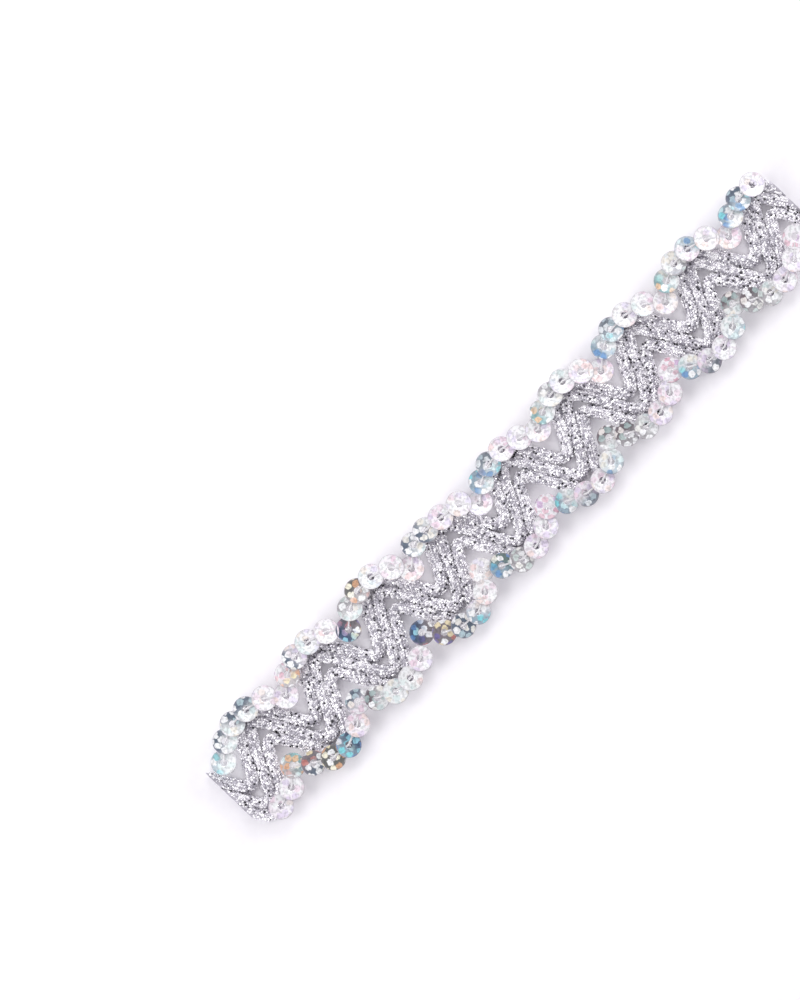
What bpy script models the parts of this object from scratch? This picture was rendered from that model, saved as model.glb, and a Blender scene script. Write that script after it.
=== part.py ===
"""A cut length of wavy sequin trim: three nested metallic cords and two sewn rows of sequins.

The trim lies flat. +X runs along it, +Y across it and +Z up, in metres, and the origin is the middle
of its underside. Every cord and every row follows one wave, worked out from the sizes below.
"""

import math

import bmesh
import bpy
import numpy as np

MM = 0.001

# The wave that the whole trim follows. Its flanks are straighter and its turns tighter than a sine's.
REPEAT = 17.5 * MM
REPEATS = 9
LENGTH = REPEAT * REPEATS
WAVE_HEIGHT = 6.2 * MM
WAVE_TIGHTNESS = 0.045

# The cords: three, nested in the wave, flat below and round on top. They are fused on the steep
# flanks of the wave, where they are sewn together, and part at its crests and hollows.
CORD_SPACING = 4.5 * MM
CORD_WIDTH = 2.45 * MM
CORD_HEIGHT = 1.8 * MM
CORD_PLACES = (-1, 0, 1)
STEPS_PER_REPEAT = 12
STEPS_PAST_END = 2

# The braid isn't sewn quite in the middle between the two rows of sequins, and the outer cords are
# held back where they turn under their row, this far from the middle line.
BRAID_SHIFT = 0.35 * MM
TURN_OUT = 9.5 * MM

# The sequins: overlapping discs, each tipped so that it lies on the one before it.
SEQUIN_WIDTH = 5.0 * MM
SEQUIN_THICKNESS = 0.6 * MM
SEQUIN_SIDES = 12
SEQUIN_TIP = math.radians(7.0)
SEAT_GAP = 0.3 * MM

# Where the five sequins of one repeat lie, in mm from the crest that they run over: along the trim,
# and outwards from its middle line. The last one lies in the hollow before the next crest.
SEQUIN_ALONG = (-6.0, -2.6, 1.2, 5.2, 8.4)
SEQUIN_OUT = (7.8, 9.1, 9.2, 8.0, 5.2)

# How much further out the row is sewn at each of its crests, in mm. It runs evenly in between.
UPPER_UNEVEN = (0.3, 0.7, 0.7, -0.9, -0.6, 0.5, 0.2, 0.4, -0.1)
LOWER_UNEVEN = (-0.9, 0.4, 0.0, 0.7, -0.1, 0.5, -0.6, -0.4, -1.0)

SILVER = (0.62, 0.61, 0.64)
HOLOGRAM = (0.86, 0.84, 0.88)


def clear_scene():
    for obj in list(bpy.data.objects):
        bpy.data.objects.remove(obj, do_unlink=True)


def new_collection(name):
    collection = bpy.data.collections.new(name)
    bpy.context.scene.collection.children.link(collection)
    return collection


def plain_material(name, colour, roughness, metallic):
    material = bpy.data.materials.new(name)
    material.use_nodes = True
    shader = material.node_tree.nodes["Principled BSDF"]
    shader.inputs["Base Color"].default_value = (*colour, 1.0)
    shader.inputs["Roughness"].default_value = roughness
    shader.inputs["Metallic"].default_value = metallic
    return material


def wave(x):
    """The wave's distance from the middle line, x metres along the trim."""
    turn = math.tau * x / REPEAT
    shape = math.sin(turn) - WAVE_TIGHTNESS * math.sin(3.0 * turn)
    return WAVE_HEIGHT * shape / (1.0 + WAVE_TIGHTNESS)


def crest_places(side):
    """Where the crests of one row lie along the trim. side is 1 for the upper row, -1 for the lower."""
    first_crest = (0.75 if side > 0 else 0.25) * REPEAT - LENGTH / 2
    return [first_crest + repeat * REPEAT for repeat in range(REPEATS)]


def unevenness(side, x):
    """How much further out one row is sewn, x metres along the trim."""
    uneven = UPPER_UNEVEN if side > 0 else LOWER_UNEVEN
    return float(np.interp(x, crest_places(side), uneven)) * MM


def cord_line(place, x):
    """One cord's distance from the middle line, x metres along the trim."""
    line = BRAID_SHIFT + place * CORD_SPACING + wave(x)
    if place == 0:
        return line
    free_turn = place * BRAID_SHIFT + CORD_SPACING + WAVE_HEIGHT
    held_back = free_turn - TURN_OUT - unevenness(place, x)
    nearness = max(0.0, place * math.sin(math.tau * x / REPEAT)) ** 2
    return line - place * held_back * nearness


def new_object(name, mesh, collection):
    obj = bpy.data.objects.new(name, mesh)
    collection.objects.link(obj)
    return obj


def evaluated_mesh(obj):
    graph = bpy.context.evaluated_depsgraph_get()
    return bpy.data.meshes.new_from_object(obj.evaluated_get(graph))


def united(obj, other):
    """obj joined with other, as one closed body; other is removed."""
    modifier = obj.modifiers.new("join", "BOOLEAN")
    modifier.operation = "UNION"
    modifier.solver = "EXACT"
    modifier.object = other
    mesh = evaluated_mesh(obj)
    obj.modifiers.clear()
    obj.data = mesh
    bpy.data.objects.remove(other, do_unlink=True)
    return obj


def cord_section(collection):
    """The cord's cross-section as a closed outline, flat below and round on top."""
    half = CORD_WIDTH / 2
    outline = (
        (-0.80 * half, 0.0),
        (0.80 * half, 0.0),
        (half, 0.40 * CORD_HEIGHT),
        (0.62 * half, 0.90 * CORD_HEIGHT),
        (0.0, CORD_HEIGHT),
        (-0.62 * half, 0.90 * CORD_HEIGHT),
        (-half, 0.40 * CORD_HEIGHT),
    )
    curve = bpy.data.curves.new("cord_section", "CURVE")
    curve.dimensions = "2D"
    curve.fill_mode = "NONE"
    spline = curve.splines.new("POLY")
    spline.points.add(len(outline) - 1)
    for point, (across, up) in zip(spline.points, outline):
        point.co = (across, up, 0.0, 1.0)
    spline.use_cyclic_u = True
    section = new_object("cord_section", curve, collection)
    section.hide_render = True
    section.display_type = "WIRE"
    return section


def cord(place, section, collection):
    """One wavy cord, as a mesh: its section swept along the wave, cut square at both ends."""
    curve = bpy.data.curves.new("cord", "CURVE")
    curve.dimensions = "3D"
    curve.twist_mode = "Z_UP"
    curve.bevel_mode = "OBJECT"
    curve.bevel_object = section
    curve.use_fill_caps = True
    spline = curve.splines.new("POLY")
    half_steps = STEPS_PER_REPEAT * REPEATS // 2 + STEPS_PAST_END
    spline.points.add(2 * half_steps)
    for step, point in enumerate(spline.points):
        x = (step - half_steps) * REPEAT / STEPS_PER_REPEAT
        point.co = (x, cord_line(place, x), 0.0, 1.0)
    path = new_object("cord_path", curve, collection)
    bpy.context.view_layer.update()
    mesh = evaluated_mesh(path)
    bpy.data.objects.remove(path, do_unlink=True)
    shape = bmesh.new()
    shape.from_mesh(mesh)
    bmesh.ops.remove_doubles(shape, verts=shape.verts, dist=0.00001)
    bmesh.ops.recalc_face_normals(shape, faces=shape.faces)
    cut_ends(shape)
    shape.to_mesh(mesh)
    shape.free()
    return new_object("cord", mesh, collection)


def cut_ends(shape):
    """Cuts a shape square across at both ends of the trim, and closes the cuts."""
    for side in (-1, 1):
        everything = shape.verts[:] + shape.edges[:] + shape.faces[:]
        bmesh.ops.bisect_plane(
            shape,
            geom=everything,
            dist=0.000001,
            plane_co=(side * LENGTH / 2, 0.0, 0.0),
            plane_no=(side, 0.0, 0.0),
            clear_outer=True,
        )
        rim = [edge for edge in shape.edges if edge.is_boundary]
        bmesh.ops.holes_fill(shape, edges=rim)


def braid(collection, guides):
    section = cord_section(guides)
    cords = [cord(place, section, collection) for place in CORD_PLACES]
    body = cords[0]
    for other in cords[1:]:
        body = united(body, other)
    body.name = "braid"
    body.data.name = "braid"
    return body


def sequin(x, y, collection):
    """One sequin as a thin disc, its low end ahead, seated above the cords."""
    mesh = bpy.data.meshes.new("sequin")
    shape = bmesh.new()
    bmesh.ops.create_cone(
        shape,
        cap_ends=True,
        segments=SEQUIN_SIDES,
        radius1=SEQUIN_WIDTH / 2,
        radius2=SEQUIN_WIDTH / 2,
        depth=SEQUIN_THICKNESS,
    )
    shape.to_mesh(mesh)
    shape.free()
    disc = new_object("sequin", mesh, collection)
    drop = SEQUIN_WIDTH / 2 * math.sin(SEQUIN_TIP) + SEQUIN_THICKNESS / 2 * math.cos(SEQUIN_TIP)
    disc.location = (x, y, CORD_HEIGHT + SEAT_GAP + drop)
    disc.rotation_euler = (0.0, SEQUIN_TIP, 0.0)
    return disc


def sequin_places(side):
    """The centres of one row's sequins, in order along the trim."""
    crests = crest_places(side)
    places = []
    for crest in (crests[0] - REPEAT, *crests, crests[-1] + REPEAT):
        for along, out in zip(SEQUIN_ALONG, SEQUIN_OUT):
            x = crest + along * MM
            if abs(x) <= (LENGTH - SEQUIN_WIDTH) / 2:
                places.append((x, side * (out * MM + unevenness(side, x))))
    return places


def sequin_row(name, side, collection):
    discs = [sequin(x, y, collection) for x, y in sequin_places(side)]
    bpy.context.view_layer.update()
    row = discs[0]
    for other in discs[1:]:
        row = united(row, other)
        bpy.context.view_layer.update()
    row.name = name
    row.data.name = name
    return row


def main():
    clear_scene()
    trim = new_collection("sequin_trim")
    guides = new_collection("guides")
    body = braid(trim, guides)
    body.data.materials.clear()
    body.data.materials.append(plain_material("silver_lurex", SILVER, 0.35, 0.8))
    for name, side in (("sequins_upper", 1), ("sequins_lower", -1)):
        row = sequin_row(name, side, trim)
        row.data.materials.clear()
        row.data.materials.append(plain_material(name + "_film", HOLOGRAM, 0.2, 0.3))


main()
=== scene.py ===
# %% [markdown]
# A wavy sequin trim, seen from above. Three thick silver cords are nested in one wave, and a row of
# round hologram sequins is sewn along each edge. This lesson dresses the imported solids: the cords get
# their knitted metallic yarn, the sequins become thin cupped film with a thread hole, and a clear
# thread runs through the holes. Everything is placed from the sizes of the solids that are loaded here.

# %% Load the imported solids
import math

import bmesh
import bpy
import numpy as np
from mathutils import Matrix, Vector


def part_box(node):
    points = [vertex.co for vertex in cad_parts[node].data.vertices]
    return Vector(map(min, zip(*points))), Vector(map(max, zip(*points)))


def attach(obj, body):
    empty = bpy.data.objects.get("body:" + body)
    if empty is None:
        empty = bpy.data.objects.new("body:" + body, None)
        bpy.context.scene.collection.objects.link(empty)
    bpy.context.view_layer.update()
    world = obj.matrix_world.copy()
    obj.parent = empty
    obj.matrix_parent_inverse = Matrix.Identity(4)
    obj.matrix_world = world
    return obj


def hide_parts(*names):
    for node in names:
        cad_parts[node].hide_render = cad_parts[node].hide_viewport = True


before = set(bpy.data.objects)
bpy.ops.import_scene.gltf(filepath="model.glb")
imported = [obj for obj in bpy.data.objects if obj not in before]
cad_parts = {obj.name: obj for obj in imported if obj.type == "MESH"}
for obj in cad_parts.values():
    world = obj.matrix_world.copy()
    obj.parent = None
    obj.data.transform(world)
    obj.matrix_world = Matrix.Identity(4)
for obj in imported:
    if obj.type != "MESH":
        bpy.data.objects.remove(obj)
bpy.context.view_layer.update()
MM = 0.001
braid_low, braid_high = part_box("braid")
print("solids:", sorted(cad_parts), "length in mm:", round((braid_high.x - braid_low.x) / MM, 1))


def added(name, data):
    """A new object with this data, linked into the scene."""
    made = bpy.data.objects.new(name, data)
    bpy.context.scene.collection.objects.link(made)
    return made


# %% [markdown]
# The whole trim follows one wave, so a few numbers carry the design: how many repeats it has, how high
# the wave is, how far apart the cords are nested, and how wide a cord is. The wave is a sine with a
# little of its third overtone taken away, which makes the flanks straighter and the turns tighter.

# %% Driving sizes
REPEATS = 9
LENGTH = braid_high.x - braid_low.x
REPEAT = LENGTH / REPEATS
WAVE_HEIGHT = 6.2 * MM
WAVE_TIGHTNESS = 0.045
CORD_SPACING = 4.5 * MM
CORD_WIDTH = 2.45 * MM
CORD_HEIGHT = braid_high.z - braid_low.z
BRAID_SHIFT = 0.35 * MM
TURN_OUT = 9.5 * MM
CORD_PLACES = {"upper": 1, "middle": 0, "lower": -1}
ROW_SIDES = {"upper": 1, "lower": -1}
ROW_UNEVEN_MM = {
    1: (0.3, 0.7, 0.7, -0.9, -0.6, 0.5, 0.2, 0.4, -0.1),
    -1: (-0.9, 0.4, 0.0, 0.7, -0.1, 0.5, -0.6, -0.4, -1.0),
}
print("one repeat in mm:", round(REPEAT / MM, 2), "cord height in mm:", round(CORD_HEIGHT / MM, 2))

# %% [markdown]
# The rows of sequins weren't sewn evenly, so each crest lies a little further out or in. The outer
# cords turn under the sequins and are held back there, so they follow the same unevenness.

# %% The line of a cord
def crest_places(side):
    """Where the crests of one row lie along the trim. side is 1 for the upper row, -1 for the lower."""
    first_crest = (0.75 if side > 0 else 0.25) * REPEAT - LENGTH / 2
    return [first_crest + repeat * REPEAT for repeat in range(REPEATS)]


def unevenness(side, x):
    """How much further out one row is sewn, x metres along the trim."""
    return np.interp(x, crest_places(side), ROW_UNEVEN_MM[side]) * MM


def cord_line(place, x):
    """The distance of one cord from the middle line, for an array of places along the trim."""
    turn = math.tau * x / REPEAT
    wave = WAVE_HEIGHT * (np.sin(turn) - WAVE_TIGHTNESS * np.sin(3 * turn)) / (1 + WAVE_TIGHTNESS)
    line = BRAID_SHIFT + place * CORD_SPACING + wave
    if place == 0:
        return line
    held_back = place * BRAID_SHIFT + CORD_SPACING + WAVE_HEIGHT - TURN_OUT - unevenness(place, x)
    return line - place * held_back * np.clip(place * np.sin(turn), 0.0, None) ** 2


middle_crest = REPEAT / 4
print("crest of the middle cord in mm:", round(float(cord_line(0, middle_crest)) / MM, 2))

# %% [markdown]
# The camera comes early, because the picture decides what has to look right. The photo looks straight
# down. One millimetre is 5.2 pixels there, because the sequins are 5 mm wide and cover 26 pixels. The
# middle of the trim lies at one pixel and the trim climbs at one angle: two facts place the camera.

# %% The camera
PICTURE_WIDTH, PICTURE_HEIGHT = 800, 1000
PIXELS_PER_MM = 5.2
TRIM_MIDDLE_PIXEL = (513.6, 501.5)
TRIM_CLIMB = math.radians(46.2)
LENS_MM = 85.0
SENSOR_MM = 24.0


def add_camera():
    """A camera straight above, turned so that the trim climbs to the right as in the photo."""
    turn = Matrix.Rotation(-TRIM_CLIMB, 3, "Z")
    right_mm = (PICTURE_WIDTH / 2 - TRIM_MIDDLE_PIXEL[0]) / PIXELS_PER_MM
    up_mm = (TRIM_MIDDLE_PIXEL[1] - PICTURE_HEIGHT / 2) / PIXELS_PER_MM
    aim = turn @ Vector((right_mm, up_mm, 0.0)) * MM
    height = PICTURE_HEIGHT / PIXELS_PER_MM * MM * LENS_MM / SENSOR_MM
    data = bpy.data.cameras.new("camera")
    data.sensor_fit = "VERTICAL"
    data.sensor_height = SENSOR_MM
    data.lens = LENS_MM
    data.clip_start = 0.01
    camera = added("camera", data)
    camera.location = (aim.x, aim.y, height + CORD_HEIGHT)
    camera.rotation_euler = (0.0, 0.0, -TRIM_CLIMB)
    bpy.context.scene.camera = camera
    print("camera height in mm:", round(height / MM))


add_camera()

# %% [markdown]
# Two small helpers serve every material. One turns an sRGB hex colour, as a paint program shows it,
# into the linear numbers that a shader wants. The other adds a node with its settings and its links,
# and the stops of its colour ramp if it has one.

# %% Material helpers
def colour(code):
    """An sRGB hex colour such as 'F3D9E6' as linear red, green, blue and alpha."""
    parts = [int(code[i:i + 2], 16) / 255 for i in (0, 2, 4)]
    linear = [p / 12.92 if p <= 0.04045 else ((p + 0.055) / 1.055) ** 2.4 for p in parts]
    return (*linear, 1.0)


def node(tree, kind, settings=None, inputs=None, stops=()):
    """Adds a node. settings are its properties, inputs its socket values or the sockets to link.

    stops are the places and hex colours of a colour ramp, from low to high. A new ramp has two.
    """
    made = tree.nodes.new(kind)
    for name, value in (settings or {}).items():
        setattr(made, name, value)
    for name, value in (inputs or {}).items():
        socket = made.inputs[name]
        if isinstance(value, bpy.types.NodeSocket):
            tree.links.new(value, socket)
        else:
            socket.default_value = value
    for number, (position, code) in enumerate(stops):
        elements = made.color_ramp.elements
        stop = elements[number] if number < 2 else elements.new(position)
        stop.position, stop.color = position, colour(code)
    return made


def new_material(name):
    """An empty material with its Principled shader: the material, its tree and the shader."""
    material = bpy.data.materials.new(name)
    material.use_nodes = True
    tree = material.node_tree
    return material, tree, tree.nodes["Principled BSDF"]


# %% [markdown]
# The cords are lurex: a yarn knitted from narrow film with a vapour coat of aluminium. Each loop of
# film is crumpled, so it flashes white or goes dark as it turns. The glitter is modelled, as thousands
# of small faceted loops, and every loop also carries a random value in an attribute that paints its
# brightness: the film's silver, a painted glint or a painted dark reflection. The loops painted near
# black are the black specks. The film's clear polyester front scatters some light, so the material is
# metallic only in part, and it keeps its default IOR.

# %% Materials of the cords
DARK_REFLECTION_SHARE = 0.06
# The ramp runs from a painted dark reflection through the film's silver to a painted white glint.
FILM_AND_GLINT_TONES = ((DARK_REFLECTION_SHARE, "141416"), (0.07, "A19FA8"), (0.36, "E0DDE4"), (0.64, "FDFCFE"))
FIBRE_SIZE = 0.4 * MM
FIBRE_DEPTH = 0.05 * MM


def lurex_film():
    """Aluminium-coated film, bright and slightly lilac, with each loop's painted glint or dark reflection
    and painted side shade.
    """
    material, tree, shader = new_material("lurex_film")
    glint_and_shade = node(tree, "ShaderNodeAttribute", {"attribute_name": "glint_and_shade"})
    ramp = node(tree, "ShaderNodeValToRGB", inputs={"Fac": glint_and_shade.outputs["Fac"]}, stops=FILM_AND_GLINT_TONES)
    tree.links.new(ramp.outputs["Color"], shader.inputs["Base Color"])
    shader.inputs["Metallic"].default_value = 0.35
    shader.inputs["Roughness"].default_value = 0.25
    return material


def yarn_core():
    """The spun polyester yarn inside the loops, matt, with its fine fibres."""
    material, tree, shader = new_material("yarn_core")
    place = node(tree, "ShaderNodeTexCoord")
    fibres = node(tree, "ShaderNodeTexNoise", inputs={
        "Vector": place.outputs["Object"], "Scale": 1.0 / FIBRE_SIZE, "Detail": 2.0})
    ramp = node(tree, "ShaderNodeValToRGB", inputs={"Fac": fibres.outputs["Fac"]},
                stops=((0.0, "8B8891"), (1.0, "D4D1DA")))
    tree.links.new(ramp.outputs["Color"], shader.inputs["Base Color"])
    bump = node(tree, "ShaderNodeBump", inputs={
        "Height": fibres.outputs["Fac"], "Distance": FIBRE_DEPTH, "Strength": 0.6})
    tree.links.new(bump.outputs["Normal"], shader.inputs["Normal"])
    shader.inputs["Metallic"].default_value = 0.2
    shader.inputs["Roughness"].default_value = 0.5
    return material


# %% [markdown]
# A cord is a tube that follows the wave. It starts as one circle, is extruded station by station and
# each new ring is carried to its place by a matrix, so the same few lines serve cords and thread.

# %% Sweeping a ring along a route
def station(point, ahead, half_width, half_height):
    """The matrix that takes a unit circle to a cross-section at point, facing along ahead."""
    ahead = Vector(ahead).normalized()
    side = Vector((0.0, 0.0, 1.0)).cross(ahead).normalized()
    up = ahead.cross(side)
    matrix = Matrix((side * half_width, up * half_height, ahead)).transposed().to_4x4()
    matrix.translation = point
    return matrix


def swept(shape, stations, sides):
    """Adds a closed tube to the bmesh shape, its ring carried from station to station."""
    ring = bmesh.ops.create_circle(
        shape, cap_ends=False, segments=sides, radius=1.0, matrix=stations[0])["verts"]
    edges = list({edge for vert in ring for edge in vert.link_edges})
    rims = [edges]
    for before, after in zip(stations, stations[1:]):
        grown = bmesh.ops.extrude_edge_only(shape, edges=edges)["geom"]
        moved = {item for item in grown if isinstance(item, bmesh.types.BMVert)}
        grown_edges = [item for item in grown if isinstance(item, bmesh.types.BMEdge)]
        edges = [edge for edge in grown_edges if moved.issuperset(edge.verts)]
        bmesh.ops.transform(shape, matrix=after @ before.inverted(), verts=list(moved))
    rims.append(edges)
    for rim in rims:
        bmesh.ops.holes_fill(shape, edges=rim)


def finished(shape, name, material):
    """Turns a bmesh into a piece at the origin that rides on the trim."""
    bmesh.ops.recalc_face_normals(shape, faces=shape.faces)
    mesh = bpy.data.meshes.new(name)
    shape.to_mesh(mesh)
    shape.free()
    mesh.materials.append(material)
    piece = added(name, mesh)
    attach(piece, "root")
    return piece


# %% [markdown]
# The route of a cord is its line along the wave. A sewn cord is never perfect, so three wobbles of
# different lengths are added, of a tenth of a millimetre or so. Where the wave is steep the cords are
# squeezed into each other, so they are narrower there and the groove between them is shallow. The
# route runs past both ends, to be cut square later.

# %% The route of each cord
WOBBLES_MM = ((0.14, 13.7), (0.10, 5.9), (0.05, 2.3))
WOBBLE_PHASE = 2.1
ROUTE_SAMPLES = 4000
ROUTE_STEP = 0.25 * MM
PAST_END = 3.0 * MM
SQUEEZE = 0.20 * MM


def cord_route(place):
    """Points, directions and half widths at even steps of arc along one cord."""
    x = np.linspace(-LENGTH / 2 - PAST_END, LENGTH / 2 + PAST_END, ROUTE_SAMPLES)
    y = cord_line(place, x)
    for size, length in WOBBLES_MM:
        y += size * MM * np.sin(math.tau * x / (length * MM) + WOBBLE_PHASE * place + length)
    arc = np.concatenate([[0.0], np.cumsum(np.hypot(np.diff(x), np.diff(y)))])
    even = np.arange(0.0, arc[-1], ROUTE_STEP)
    route_x, route_y = np.interp(even, arc, x), np.interp(even, arc, y)
    ahead_x, ahead_y = np.gradient(route_x), np.gradient(route_y)
    size = np.hypot(ahead_x, ahead_y)
    room = CORD_SPACING * np.abs(ahead_x) / size / 2
    half_width = np.minimum(CORD_WIDTH / 2, room + SQUEEZE)
    return route_x, route_y, ahead_x / size, ahead_y / size, half_width


routes = {name: cord_route(place) for name, place in CORD_PLACES.items()}

# %% [markdown]
# First the cores: three tubes inside the loops, lower than they are wide, and cut square at both ends.
# They are one piece, the braid.

# %% The cores of the cords
CORE_SHARE = 0.84
CORE_SIDES = 12
CORE_EVERY = 3


def cut_square(shape):
    """Cuts a shape square across at both ends of the trim, and closes the cuts."""
    for side in (-1, 1):
        everything = shape.verts[:] + shape.edges[:] + shape.faces[:]
        bmesh.ops.bisect_plane(
            shape, geom=everything, dist=1e-7, plane_co=(side * LENGTH / 2, 0.0, 0.0),
            plane_no=(side, 0.0, 0.0), clear_outer=True)
        bmesh.ops.holes_fill(shape, edges=[edge for edge in shape.edges if edge.is_boundary])


def add_cores():
    """The three cores as one piece."""
    shape = bmesh.new()
    for route_x, route_y, ahead_x, ahead_y, half_width in routes.values():
        stations = [
            station(
                (route_x[i], route_y[i], CORD_HEIGHT / 2), (ahead_x[i], ahead_y[i], 0.0),
                half_width[i] * CORE_SHARE, CORD_HEIGHT / 2 * CORE_SHARE)
            for i in range(0, len(route_x), CORE_EVERY)
        ]
        swept(shape, stations, CORE_SIDES)
    cut_square(shape)
    return finished(shape, "braid_cores", yarn_core())


cores = add_cores()
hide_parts("braid")
print("core faces:", len(cores.data.polygons))

# %% [markdown]
# The loops come from one small faceted form, an icosphere pulled long. Copies are joined with numpy:
# the template's points are turned and moved for every loop and written into one mesh. Each copy can
# carry values, such as its painted glint and shade, which the material reads.

# %% Joining many copies of a small form
def template_mesh(shape, name):
    """Turns a bmesh into a mesh that is copied, but isn't a piece itself."""
    bmesh.ops.recalc_face_normals(shape, faces=shape.faces)
    mesh = bpy.data.meshes.new(name)
    shape.to_mesh(mesh)
    shape.free()
    return mesh


def mesh_points(mesh):
    """The points of a mesh, one in each row."""
    co = np.empty(len(mesh.vertices) * 3)
    mesh.vertices.foreach_get("co", co)
    return co.reshape(-1, 3)


def corner_points(mesh):
    """The number of the point at each corner of a mesh's faces."""
    numbers = np.empty(len(mesh.loops), np.int32)
    mesh.loops.foreach_get("vertex_index", numbers)
    return numbers


def joined_copies(name, template, matrices, material, smooth):
    """One mesh piece with a copy of the template for every 4 by 4 matrix."""
    count, points, corners = len(matrices), len(template.vertices), len(template.loops)
    co = np.c_[mesh_points(template), np.ones(points)]
    placed = np.einsum("nij,pj->npi", matrices, co)[:, :, :3]
    starts = np.empty(len(template.polygons), np.int32)
    template.polygons.foreach_get("loop_start", starts)
    offset = np.arange(count, dtype=np.int32)[:, None]
    mesh = bpy.data.meshes.new(name)
    mesh.vertices.add(count * points)
    mesh.loops.add(count * corners)
    mesh.polygons.add(count * len(starts))
    mesh.vertices.foreach_set("co", placed.ravel())
    mesh.loops.foreach_set("vertex_index", (corner_points(template)[None] + offset * points).ravel())
    mesh.polygons.foreach_set("loop_start", (starts[None] + offset * corners).ravel())
    mesh.polygons.foreach_set("use_smooth", np.full(count * len(starts), smooth))
    mesh.update(calc_edges=True)
    mesh.validate()
    mesh.materials.append(material)
    piece = added(name, mesh)
    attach(piece, "root")
    return piece


def point_values(piece, name, values):
    """Stores one number, or one colour, on every point of a piece."""
    kind, key = ("FLOAT", "value") if values.ndim == 1 else ("FLOAT_COLOR", "color")
    data = piece.data.attributes.new(name, kind, "POINT")
    data.data.foreach_set(key, values.astype(np.float32).ravel())


# %% [markdown]
# A knitted cord shows columns of slanting loops, leaning left and right in turn like the legs of a V.
# Thirteen columns go round the cord. Each loop is leaned, tipped and scaled a little at random, with a
# fixed seed, and loops under the cord are pressed flat by the table. Loops low on the cord's sides and
# under it are painted darker, as painted shade. Spreads are in radians, and a loop's jitter is a share
# of the pitch and of a column.

# %% The knitted loops of film
LOOP_LENGTH = 0.62 * MM
LOOP_WIDTH = 0.48 * MM
LOOP_THICKNESS = 0.44 * MM
LOOP_PITCH = 0.50 * MM
LOOP_COLUMNS = 13
LOOP_LEAN = math.radians(34.0)
LEAN_SPREAD = 0.7
TWIST_SPREAD = 0.45
TILT_SPREAD = 0.35
LOOP_JITTER = 0.25
LOOP_STRAY = 0.09 * MM
LOOP_SIZES = (0.75, 1.4)
DARK_REFLECTION_SIZE = 0.8
# Painted shade: a loop's value is scaled by the side value plus the top gain times the sine of its turn.
PAINTED_SIDE_SHADE = 0.82
PAINTED_SHADE_TOP_GAIN = 0.4
LOOP_SEED = 11
END_MARGIN = 0.42 * MM
TABLE_CLEARANCE = 0.01 * MM


def loop_template():
    """One loop: an icosphere pulled long."""
    shape = bmesh.new()
    bmesh.ops.create_icosphere(shape, subdivisions=1, radius=0.5)
    bmesh.ops.scale(shape, vec=(LOOP_LENGTH, LOOP_WIDTH, LOOP_THICKNESS), verts=shape.verts)
    return template_mesh(shape, "loop")


def loop_matrix(route, i, turn, lean, size, rng):
    """Where one loop lies: at step i of the route, turn radians round the cord."""
    route_x, route_y, ahead_x, ahead_y, half_width = route
    ahead = Vector((ahead_x[i], ahead_y[i], 0.0))
    side = Vector((-ahead_y[i], ahead_x[i], 0.0))
    up = Vector((0.0, 0.0, 1.0))
    stray = rng.normal(0.0, LOOP_STRAY)
    across = half_width[i] - LOOP_THICKNESS / 2 + stray
    height = CORD_HEIGHT / 2 - LOOP_THICKNESS / 4 + min(stray, 0.0)
    out = (side * (height * math.cos(turn)) + up * (across * math.sin(turn))).normalized()
    along = (Matrix.Rotation(lean, 3, out) @ ahead).normalized()
    cross = out.cross(along)
    twist = Matrix.Rotation(rng.normal(0.0, TWIST_SPREAD), 3, along)
    tilt = Matrix.Rotation(rng.normal(0.0, TILT_SPREAD), 3, cross)
    basis = twist @ tilt @ Matrix((along, cross, out)).transposed() * size
    matrix = basis.to_4x4()
    matrix.translation = (
        Vector((route_x[i], route_y[i], CORD_HEIGHT / 2))
        + side * (across * math.cos(turn)) + up * (height * math.sin(turn)))
    return np.array(matrix)


def place_loops(route, rng):
    """The matrices of one cord's loops, and their values: painted glints and dark reflections, with painted
    shade low on the cord's sides.
    """
    every = LOOP_PITCH / ROUTE_STEP
    last = len(route[0]) - 1
    matrices, glints_and_shades = [], []
    for course in range(int(last / every)):
        for column in range(LOOP_COLUMNS):
            jitter = rng.uniform(-LOOP_JITTER, LOOP_JITTER)
            i = int(round((course + 0.5 * (column % 2) + jitter) * every))
            turn = math.tau * (column + rng.uniform(-LOOP_JITTER, LOOP_JITTER)) / LOOP_COLUMNS
            lean = LOOP_LEAN * (1 if column % 2 else -1) + rng.normal(0.0, LEAN_SPREAD)
            if not 0 <= i <= last:
                continue
            # A loop's random value is the film's silver, a painted glint or, below the dark share, a painted
            # dark reflection.
            glint_and_shade, size = rng.uniform(0.0, 1.0), rng.uniform(*LOOP_SIZES)
            if glint_and_shade > DARK_REFLECTION_SHARE:
                # Painted shade, darker low on the cord's sides and under it.
                brightness = min(1.0, PAINTED_SIDE_SHADE + PAINTED_SHADE_TOP_GAIN * math.sin(turn))
                glint_and_shade = DARK_REFLECTION_SHARE + (glint_and_shade - DARK_REFLECTION_SHARE) * brightness
            else:
                size = DARK_REFLECTION_SIZE
            matrix = loop_matrix(route, i, turn, lean, size, rng)
            if abs(matrix[0, 3]) < LENGTH / 2 - END_MARGIN:
                matrices.append(matrix)
                glints_and_shades.append(glint_and_shade)
    return np.array(matrices), np.array(glints_and_shades)


def press_and_trim(piece):
    """Presses the loops flat on the table and keeps them inside the trim's cut ends."""
    co = mesh_points(piece.data)
    co[:, 0] = np.clip(co[:, 0], -LENGTH / 2, LENGTH / 2)
    co[:, 2] = np.clip(co[:, 2], TABLE_CLEARANCE, None)
    piece.data.vertices.foreach_set("co", co.ravel())
    piece.data.update()


def add_loops():
    """The loops of each cord, as one piece for each cord."""
    template = loop_template()
    material = lurex_film()
    pieces = []
    for number, (name, route) in enumerate(routes.items()):
        rng = np.random.default_rng(LOOP_SEED + number)
        matrices, glints_and_shades = place_loops(route, rng)
        piece = joined_copies("lurex_" + name, template, matrices, material, smooth=False)
        point_values(piece, "glint_and_shade", np.repeat(glints_and_shades, len(template.vertices)))
        press_and_trim(piece)
        pieces.append(piece)
        print(piece.name, "loops:", len(matrices))
    return pieces


loops = add_loops()
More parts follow.
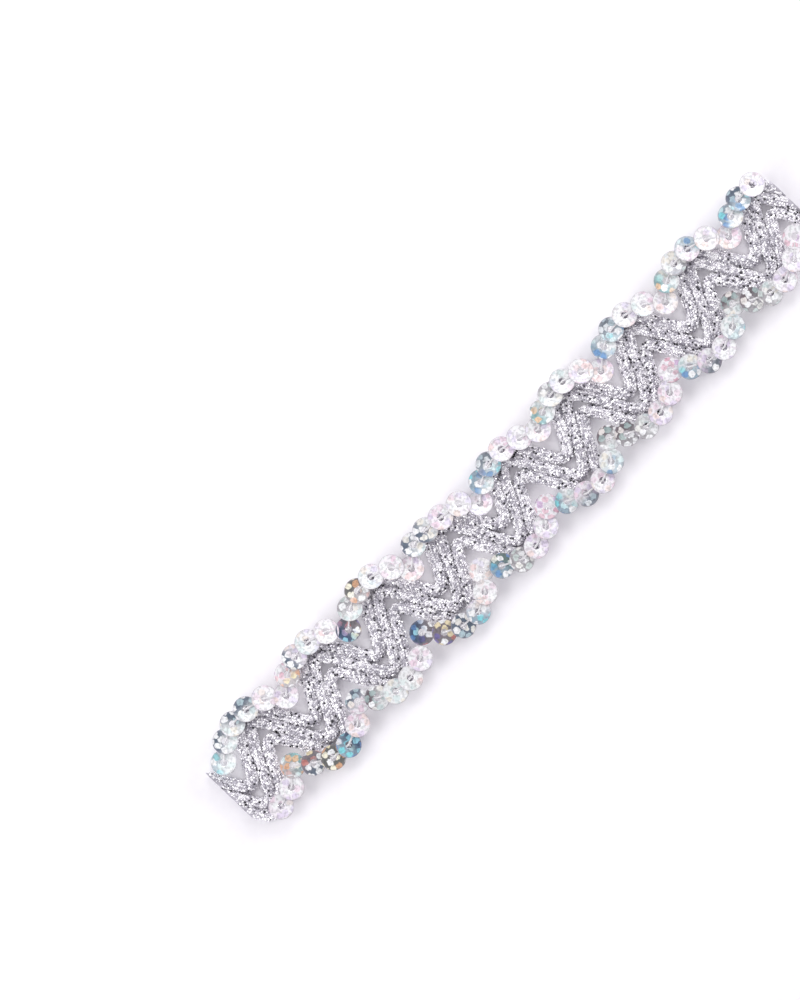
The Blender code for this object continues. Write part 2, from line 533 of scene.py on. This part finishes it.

# %% [markdown]
# The sequins are punched from pearly film with an embossed hologram of dots. Seen from one side the
# dots are soft pink on white, from another cyan and blue, and in shade they are white on dark. So each
# sequin gets two of a few looks, painted reflections of the hologram and on the dark grounds painted
# shade, that meet across its disc. A look is five colours: the ground, then its dots from common to rare.

# %% The looks of the sequins
# Every look is painted light: the hologram's reflections as seen from one side, and on the dark grounds
# painted shade.
LOOKS = {
    "p": "FDFAFC FFFFFF F9EAF2 F1EAF9 FDF3EE",
    "w": "FEFBFA FFFFFF FCEBE4 FAE2E0 F4EFFA",
    "k": "FAF3F8 FFFFFF F3DCE8 EADDF0 F7E4E1",
    "K": "FBF7FA E9B7C6 F2D0DA FFFFFF E0C4E2",
    "g": "F7F8F7 FFFFFF EAF3F1 E0EBEA F6F1E6",
    "G": "B2AEB0 FFFFFF F9F8F3 D5DFDB FFFFFF",
    "a": "C4D0D6 A6E0E6 FFFFFF 83A2C5 E4F4F5",
    "b": "3F4E6A 557AAC 93C8DA 8C88AA 303E57",
    "B": "9BAEBB FFFFFF 89D9E1 729AC9 CDEAEE",
    "T": "93B6B6 A6E1DD FFFFFF EBC8A4 CCEEEB",
    "d": "7E838C FFFFFF E4E8EB 9F97A5 B4C2CA",
    "D": "68707F FFFFFF FFFFFF B4C8CF F2EFE8",
    "M": "726468 FFFFFF EFE8E4 A4B4B2 FFFFFF",
    "r": "867B7E FFFFFF F4E4BC D2867C 7A6EA3",
    "o": "C5BEBE FFFFFF F7EBC4 EAB591 DBBCB7",
    "y": "6C6863 FEF8E1 F3E8BD FFFFFF D7A57E",
    "e": "687974 FFFFFF F4F2E6 76C7D2 7191C3",
}
# Two looks for each sequin along the row, and where the second one lies, in eighths of a turn
# anticlockwise from the trim's direction: 0 is ahead, 2 towards +Y, 4 behind and 6 towards -Y. The
# second look paints how that side of the disc catches the light.
ROW_LOOKS = {
    "upper": (
        "ga3 gD3 gD1 gD2 pp0 pk3 oK2 kD4 pg4 wp0 rb4 gG2 oy2 pg4 pk0 wk0 gD3 gD4 pk4 wp0 wk0 gB3 "
        "ad2 wk0 pp0 wp0 gT4 Gg5 pg1 pw0 wk0 gB4 ad2 wp0 gk0 wp0 gT4 Gg2 pa1 wp0 wk0 gB3 aD2 pp0"),
    "lower": (
        "kp0 kp0 oT0 rD6 yy0 Bb0 kk0 kD2 gM3 gg0 gw0 kp0 rb3 rr0 DD0 pB5 wp0 ww0 eB5 GG0 kk0 kp0 "
        "KK0 gB4 kd6 pk0 ga6 gM2 GM2 Gg0 kp0 kp0 KK0 gB5 kd6 pk0 ga6 gM2 GM2 Gg0 kp0 kp0 KK0"),
}

# %% [markdown]
# Each repeat of the wave carries five sequins: four over the crest and one in the hollow beside it. A
# sequin lies on the one before it, so each is tipped with its low end ahead. The rows weren't sewn
# evenly, so some sequins are nudged, by up to a millimetre along the trim or across it.

# %% Where the sequins lie
SEQUIN_WIDTH = 5.0 * MM
SEQUIN_TIP = math.radians(7.0)
# Where the five sequins of one repeat lie: along the trim from their crest, and outwards from the
# trim's middle line.
SEQUIN_ALONG_MM = (-6.0, -2.6, 1.2, 5.2, 8.4)
SEQUIN_OUT_MM = {"upper": (7.8, 9.1, 9.2, 8.0, 5.2), "lower": (7.0, 8.8, 9.1, 7.7, 4.7)}
# The nudges, by a sequin's number in its row: along the trim, and across it.
NUDGES_MM = {
    "upper": {
        15: (-0.7, 0.1), 16: (-0.2, 0.7), 18: (0.0, -0.3), 19: (0.3, 0.1), 25: (0.4, 1.0),
        26: (0.3, 0.0), 27: (0.4, -0.3), 28: (0.0, -0.4), 29: (-0.1, -0.4), 30: (-0.6, -0.3)},
    "lower": {
        12: (0.6, 0.4), 13: (0.5, -0.3), 14: (0.6, -0.1), 15: (0.7, 0.0), 16: (0.3, 0.1), 17: (-0.4, 0.4),
        18: (-0.1, 0.3), 22: (-0.3, -0.4), 24: (0.2, 0.2), 25: (0.4, 0.0), 26: (0.2, -0.3), 28: (-0.2, 0.1)},
}


def sequin_centres(row):
    """The centres of one row's sequins, seated in the height of that row's solid."""
    low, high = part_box("sequins_" + row)
    side = ROW_SIDES[row]
    crests = crest_places(side)
    centres = []
    for crest in (crests[0] - REPEAT, *crests, crests[-1] + REPEAT):
        for along, out in zip(SEQUIN_ALONG_MM, SEQUIN_OUT_MM[row]):
            x = crest + along * MM
            if abs(x) <= (LENGTH - SEQUIN_WIDTH) / 2:
                y = float(side * (out * MM + unevenness(side, x)))
                nudge_x, nudge_y = NUDGES_MM[row].get(len(centres), (0.0, 0.0))
                centres.append(Vector((x + nudge_x * MM, y + nudge_y * MM, (low.z + high.z) / 2)))
    return centres


centres = {row: sequin_centres(row) for row in ROW_SIDES}
print("sequins and looks:", {row: (len(centres[row]), len(ROW_LOOKS[row].split())) for row in ROW_SIDES})

# %% [markdown]
# One sequin is a thin closed profile turned about its axis: a lip punched down at the thread hole, a
# shallow cup, and a cut rim. The spin merges its last ring with its first. Its UV map holds plain
# millimetres across the disc, so the hologram's dots keep their real size.

# %% The form of one sequin
# The profile's points: distance from the axis and height, in mm.
SEQUIN_PROFILE = (
    (0.68, -0.04), (0.84, 0.01), (1.30, 0.03), (1.95, 0.09), (2.40, 0.18), (2.50, 0.17),
    (2.40, 0.09), (1.95, 0.00), (1.30, -0.06), (0.84, -0.08), (0.70, -0.11),
)
SEQUIN_STEPS = 32


def sequin_template():
    """One sequin: its profile turned about its axis."""
    shape = bmesh.new()
    verts = [shape.verts.new((radius * MM, 0.0, height * MM)) for radius, height in SEQUIN_PROFILE]
    edges = [shape.edges.new(pair) for pair in zip(verts, verts[1:] + verts[:1])]
    bmesh.ops.spin(
        shape, geom=verts + edges, cent=(0.0, 0.0, 0.0), axis=(0.0, 0.0, 1.0),
        angle=math.tau, steps=SEQUIN_STEPS, use_merge=True)
    return template_mesh(shape, "sequin")


# %% [markdown]
# The hologram is drawn in the sequin's own UV. Voronoi cells give the dots, with their distance as the
# dot's edge and their random colour to choose between the look's dot colours. The film is smooth and
# has a clear lacquer, and a very thin film on it tints the gloss, as mother of pearl does. A finer
# noise paints darker speckles into the colour: painted shade where the embossing turns the light away.

# %% Material of the sequins
DOT_PITCH_MM = 1.55
DOT_RADIUS_MM = 0.66
DOT_EDGE = 0.10
# Painted shade: speckles of this size, darkened down to the given share of the colour.
SPECKLE_MM = 0.6
SPECKLE_RANGE = (0.36, 0.54)
SPECKLE_SHADE = 0.72
CRUMPLE_MM = 0.8
CRUMPLE_REACH_MM = 0.7
FILM_LAYER_NM = 380.0
LOOK_LAYERS = ("ground", "common_dots", "other_dots", "fewer_dots", "rare_dots")
DOT_CHANCES = (("Red", 0.50), ("Green", 0.68), ("Blue", 0.84))
# The Mix node has sockets of the same name for each kind of data: these are its colours, by number.
MIX_A, MIX_B, MIX_RESULT = 6, 7, 2


def hologram_film():
    """Pearly polyester film with an embossed hologram of dots: smooth, lacquered, iridescent."""
    material, tree, shader = new_material("hologram_film")
    disc = node(tree, "ShaderNodeUVMap", {"uv_map": "disc"})
    layers = [node(tree, "ShaderNodeAttribute", {"attribute_name": name}) for name in LOOK_LAYERS]
    look = [layer.outputs["Color"] for layer in layers]
    crumple = node(tree, "ShaderNodeTexNoise", {"noise_dimensions": "2D"}, {
        "Vector": disc.outputs["UV"], "Scale": 1.0 / CRUMPLE_MM, "Detail": 1.0})
    bent = node(tree, "ShaderNodeVectorMath", {"operation": "MULTIPLY_ADD"}, {
        0: crumple.outputs["Color"], 1: (CRUMPLE_REACH_MM,) * 3, 2: disc.outputs["UV"]})
    dots = node(tree, "ShaderNodeTexVoronoi", {"voronoi_dimensions": "2D", "feature": "F1"}, {
        "Vector": bent.outputs["Vector"], "Scale": 1.0 / DOT_PITCH_MM, "Randomness": 0.4})
    dot_radius = DOT_RADIUS_MM / DOT_PITCH_MM
    inside = node(tree, "ShaderNodeMapRange", {"interpolation_type": "SMOOTHSTEP"}, {
        "Value": dots.outputs["Distance"], "From Min": dot_radius * (1 + DOT_EDGE),
        "From Max": dot_radius * (1 - DOT_EDGE), "To Min": 0.0, "To Max": 1.0})
    chance = node(tree, "ShaderNodeSeparateColor", inputs={"Color": dots.outputs["Color"]})
    dot_colour = look[1]
    for (channel, level), rarer in zip(DOT_CHANCES, look[2:]):
        picked = node(tree, "ShaderNodeMath", {"operation": "GREATER_THAN"}, {
            0: chance.outputs[channel], 1: level})
        dot_colour = node(tree, "ShaderNodeMix", {"data_type": "RGBA"}, {
            "Factor": picked.outputs[0], MIX_A: dot_colour, MIX_B: rarer}).outputs[MIX_RESULT]
    film = node(tree, "ShaderNodeMix", {"data_type": "RGBA"}, {
        "Factor": inside.outputs["Result"], MIX_A: look[0], MIX_B: dot_colour})
    # Painted shade: a finer noise multiplies darker speckles into the colour.
    speckle = node(tree, "ShaderNodeTexNoise", {"noise_dimensions": "2D"}, {
        "Vector": disc.outputs["UV"], "Scale": 1.0 / SPECKLE_MM, "Detail": 2.0})
    speckle_shade = node(tree, "ShaderNodeMapRange", inputs={
        "Value": speckle.outputs["Fac"], "From Min": SPECKLE_RANGE[0], "From Max": SPECKLE_RANGE[1],
        "To Min": SPECKLE_SHADE, "To Max": 1.0})
    speckled = node(tree, "ShaderNodeMix", {"data_type": "RGBA", "blend_type": "MULTIPLY"}, {
        "Factor": 1.0, MIX_A: film.outputs[MIX_RESULT], MIX_B: speckle_shade.outputs["Result"]})
    # The rim takes the cut edge's own tan colour, darkened as painted shade between overlapping sequins.
    rim = node(tree, "ShaderNodeAttribute", {"attribute_name": "rim"})
    rim_edge_and_shade = node(tree, "ShaderNodeMix", {"data_type": "RGBA"}, {
        "Factor": rim.outputs["Fac"], MIX_A: speckled.outputs[MIX_RESULT], MIX_B: colour("A69EA5")})
    tree.links.new(rim_edge_and_shade.outputs[MIX_RESULT], shader.inputs["Base Color"])
    shader.inputs["Metallic"].default_value = 0.1
    shader.inputs["Roughness"].default_value = 0.25
    shader.inputs["Coat Weight"].default_value = 0.5
    shader.inputs["Coat Roughness"].default_value = 0.08
    shader.inputs["Thin Film Thickness"].default_value = FILM_LAYER_NM
    shader.inputs["Thin Film IOR"].default_value = 1.6
    return material


# %% [markdown]
# Now the rows. Each sequin is rolled and tipped a few degrees as the thread pulled it, and its patch of
# hologram is shifted at random, so that no two show the same dots. Its painted colours, reflections and
# shade, are written on its points, fading from the first look to the second across the disc, and so is
# a mask for its rim, which takes the cut edge's colour darkened as painted shade.

# %% The two rows of sequins
LOOK_FADE_MM = 1.2
# The rim mask: the cut edge's colour, darkened as painted shade that sets one sequin off from the next.
RIM_START_MM = 2.38
RIM_FADE_MM = 0.1
MAP_SHIFT_MM = 200.0
SEQUIN_LEAN = math.radians(7.0)
LEAN_SPREAD_DEGREES = 2.5
TIP_SPREAD_DEGREES = 1.5
SEQUIN_SEED = 31


def sequin_matrices(row, rng):
    """Every sequin leans outwards a little, where nothing holds it up, and tips its low end ahead."""
    matrices = []
    for centre in centres[row]:
        lean = math.radians(rng.normal(0.0, LEAN_SPREAD_DEGREES)) - ROW_SIDES[row] * SEQUIN_LEAN
        tip = math.radians(rng.normal(0.0, TIP_SPREAD_DEGREES)) + SEQUIN_TIP
        turned = Matrix.Rotation(lean, 4, "X") @ Matrix.Rotation(tip, 4, "Y")
        matrices.append(np.array(Matrix.Translation(centre) @ turned))
    return np.array(matrices)


def add_disc_map(piece, template, count, rng):
    """A UV map in millimetres across each disc, turned and shifted at random from disc to disc."""
    flat = mesh_points(template)[corner_points(template), :2] / MM
    turn = rng.uniform(0.0, math.tau, count)
    turned = np.stack([
        np.cos(turn)[:, None] * flat[:, 0] - np.sin(turn)[:, None] * flat[:, 1],
        np.sin(turn)[:, None] * flat[:, 0] + np.cos(turn)[:, None] * flat[:, 1]], axis=2)
    shift = rng.uniform(0.0, MAP_SHIFT_MM, (count, 1, 2))
    piece.data.uv_layers.new(name="disc").data.foreach_set("uv", (turned + shift).ravel())


def add_looks(piece, template, looks):
    """Writes each sequin's painted reflections and shade on its points, and a mask on its rim for the cut
    edge's colour and painted shade.
    """
    flat = mesh_points(template) / MM
    angle = np.array([int(look[2]) for look in looks]) * math.tau / 8
    along = np.cos(angle)[:, None] * flat[:, 0] + np.sin(angle)[:, None] * flat[:, 1]
    second = np.clip(0.5 + along / (2 * LOOK_FADE_MM), 0.0, 1.0)[:, :, None]
    for layer, name in enumerate(LOOK_LAYERS):
        codes = [[LOOKS[letter].split()[layer] for letter in look[:2]] for look in looks]
        shades = np.array([[colour(code) for code in pair] for pair in codes])
        blend = shades[:, None, 0] * (1 - second) + shades[:, None, 1] * second
        point_values(piece, name, blend.reshape(-1, 4))
    rim = np.clip((np.hypot(flat[:, 0], flat[:, 1]) - RIM_START_MM) / RIM_FADE_MM, 0.0, 1.0)
    point_values(piece, "rim", np.tile(rim, len(looks)))


def add_sequin_rows():
    """Each row of sequins as one piece, which stands for the solid of that row."""
    template = sequin_template()
    material = hologram_film()
    pieces = []
    for number, row in enumerate(ROW_SIDES):
        rng = np.random.default_rng(SEQUIN_SEED + number)
        matrices = sequin_matrices(row, rng)
        piece = joined_copies("sequin_row_" + row, template, matrices, material, smooth=True)
        add_disc_map(piece, template, len(matrices), rng)
        add_looks(piece, template, ROW_LOOKS[row].split())
        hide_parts("sequins_" + row)
        pieces.append(piece)
        print(piece.name, "triangles:", len(piece.data.polygons) * 2)
    return pieces


sequin_rows = add_sequin_rows()

# %% [markdown]
# A clear nylon thread sews the sequins on. It comes up through each hole, lies on its sequin towards
# the next one and is hidden there, under the sequin that it comes up through next. Its route is given
# as shares of the way from one hole to the next, and heights above the sequins' middle.

# %% The sewing thread
MILK_SIZE = 1.2 * MM
THREAD_HALF_WIDTH = 0.20 * MM
THREAD_HALF_HEIGHT = 0.09 * MM
THREAD_SIDES = 8
THREAD_SHARES = (0.0, 0.08, 0.2, 0.35, 0.5, 0.7, 0.9)
THREAD_HEIGHTS_MM = (-0.12, -0.02, 0.07, 0.03, -0.03, -0.10, -0.15)


def clear_thread():
    """Nylon monofilament: clear, slightly milky, glossy."""
    material, tree, shader = new_material("clear_thread")
    place = node(tree, "ShaderNodeTexCoord")
    milk = node(tree, "ShaderNodeTexNoise", inputs={
        "Vector": place.outputs["Object"], "Scale": 1.0 / MILK_SIZE, "Detail": 1.0})
    ramp = node(tree, "ShaderNodeValToRGB", inputs={"Fac": milk.outputs["Fac"]},
                stops=((0.0, "F1EFF3"), (1.0, "FFFFFF")))
    tree.links.new(ramp.outputs["Color"], shader.inputs["Base Color"])
    shader.inputs["Roughness"].default_value = 0.25
    shader.inputs["IOR"].default_value = 1.45
    shader.inputs["Transmission Weight"].default_value = 0.35
    return material


def thread_route(row):
    """Points from hole to hole: just above the sequin at first, then below the next one."""
    points = []
    for here, there in zip(centres[row], centres[row][1:]):
        for share, height in zip(THREAD_SHARES, THREAD_HEIGHTS_MM):
            point = here.lerp(there, share)
            point.z += height * MM
            points.append(point)
    return points


def add_threads():
    """One thread along each row, as a flattened tube."""
    material = clear_thread()
    pieces = []
    for row in ROW_SIDES:
        route = thread_route(row)
        ways = [after - before for before, after in zip(route[:1] + route, route[1:] + route[-1:])]
        stations = [
            station(point, way, THREAD_HALF_WIDTH, THREAD_HALF_HEIGHT) for point, way in zip(route, ways)]
        shape = bmesh.new()
        swept(shape, stations, THREAD_SIDES)
        piece = finished(shape, "thread_" + row, material)
        piece.data.shade_smooth()
        pieces.append(piece)
    return pieces


threads = add_threads()

# %% [markdown]
# The braid lies flat, as the photo shows it.

# %% [markdown]
# The photo has a white ground with only a soft shadow at the lower right of the trim, and yet the gaps
# between the cords are grey. So most light comes in low and can't reach down into the gaps: from soft
# boxes at the left and above, and from two still lower ones in line with the trim. The sky is white
# round the horizon, for the same reason, dark above that, and half bright overhead, which fills the
# shade a little and gives the sequins something pale to reflect.

# %% Floor, sky and lamps
FLOOR_SIZE = 4.0
FLOOR_DROP = 0.02 * MM
FLOOR_GRAINS_PER_METRE = 600.0
SKY_STOPS = ((0.20, "FFFFFF"), (0.45, "36343A"), (0.9, "BFBCC2"))
SKY_STRENGTH = 1.32
LAMP_SIZE = 0.65
LAMP_REACH = 1.3
# For each lamp: its direction as an angle on the picture, its rise above the floor, and its watts.
LAMPS = {
    "left_box": (181, 35, 5.5),
    "top_box": (91, 35, 5.5),
    "low_left_box": (226, 15, 9.5),
    "low_right_box": (46, 15, 9.5),
}


def studio_floor():
    """White matt paper with a faint grain."""
    material, tree, shader = new_material("studio_floor")
    place = node(tree, "ShaderNodeTexCoord")
    grain = node(tree, "ShaderNodeTexNoise", inputs={
        "Vector": place.outputs["Object"], "Scale": FLOOR_GRAINS_PER_METRE})
    ramp = node(tree, "ShaderNodeValToRGB", inputs={"Fac": grain.outputs["Fac"]},
                stops=((0.0, "F5F3F7"), (1.0, "FCFBFD")))
    tree.links.new(ramp.outputs["Color"], shader.inputs["Base Color"])
    shader.inputs["Roughness"].default_value = 0.8
    return material


def add_floor():
    """A large floor just under the trim."""
    shape = bmesh.new()
    bmesh.ops.create_grid(shape, x_segments=1, y_segments=1, size=FLOOR_SIZE / 2)
    mesh = bpy.data.meshes.new("floor")
    shape.to_mesh(mesh)
    shape.free()
    mesh.materials.append(studio_floor())
    floor = added("floor", mesh)
    floor.location.z = -FLOOR_DROP


def add_lamp(name, picture_degrees, rise_degrees, power):
    """A square lamp that looks at the trim from a direction given as on the picture."""
    data = bpy.data.lights.new(name, "AREA")
    data.size = LAMP_SIZE
    data.energy = power
    lamp = added(name, data)
    around = math.radians(picture_degrees) - TRIM_CLIMB
    rise = math.radians(rise_degrees)
    way = Vector((math.cos(rise) * math.cos(around), math.cos(rise) * math.sin(around), math.sin(rise)))
    lamp.location = way * LAMP_REACH
    lamp.rotation_euler = way.to_track_quat("Z", "Y").to_euler()


def add_sky():
    """A sky whose brightness changes with height alone."""
    world = bpy.data.worlds.new("sky")
    bpy.context.scene.world = world
    world.use_nodes = True
    tree = world.node_tree
    place = node(tree, "ShaderNodeTexCoord")
    parts = node(tree, "ShaderNodeSeparateXYZ", inputs={"Vector": place.outputs["Generated"]})
    ramp = node(tree, "ShaderNodeValToRGB", inputs={"Fac": parts.outputs["Z"]}, stops=SKY_STOPS)
    background = tree.nodes["Background"]
    tree.links.new(ramp.outputs["Color"], background.inputs["Color"])
    background.inputs["Strength"].default_value = SKY_STRENGTH


add_floor()
add_sky()
for name, (picture_degrees, rise_degrees, power) in LAMPS.items():
    add_lamp(name, picture_degrees, rise_degrees, power)
bpy.context.scene.view_settings.view_transform = "Standard"
